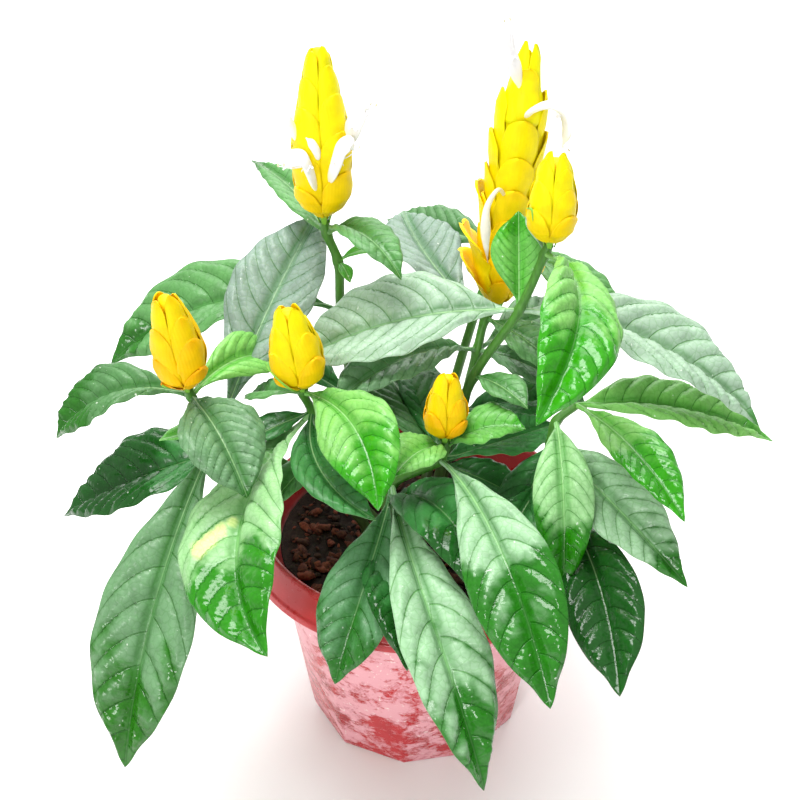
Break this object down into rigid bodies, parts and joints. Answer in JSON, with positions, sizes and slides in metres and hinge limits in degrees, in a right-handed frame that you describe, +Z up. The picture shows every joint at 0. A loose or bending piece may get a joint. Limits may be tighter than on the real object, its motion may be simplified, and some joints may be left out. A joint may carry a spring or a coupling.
{
  "type": "potted golden shrimp plant",
  "caption": "Flowering house plant: leafy stems with quilted opposite leaves and upright yellow bract spikes with white flowers, in a tapered round plastic pot filled with soil.",
  "frame": {"origin": "middle of the pot's flat underside, on the surface that it stands on", "axes": "+Z up along the pot's axis, -Y toward the front of the plant, +X to the right seen from the front"},
  "size_m": [0.3428, 0.3264, 0.3564],
  "materials": {
    "pot_plastic": "gloss",
    "soil": "matte",
    "leaf": "satin",
    "bract": "satin",
    "corolla": "matte"
  },
  "bodies": {
    "root": {"pot": "pot_plastic", "soil": "soil", "shoot_left_back": "leaf", "shoot_back": "leaf", "shoot_right_centre": "leaf", "shoot_far_left": "leaf", "shoot_left_centre": "leaf", "shoot_front": "leaf", "shoot_right": "leaf", "shoot_rear": "leaf", "head_left_back": "bract", "head_back": "bract", "head_right_centre": "bract", "head_far_left": "bract", "head_left_centre": "bract", "head_front": "bract", "flower_left_low": "corolla", "flower_right_low": "corolla", "flower_bud": "corolla", "flower_far_right": "corolla", "flower_far_left": "corolla", "flower_top": "corolla", "flower_right": "corolla", "flower_wilted": "corolla"}
  },
  "joints": []
}
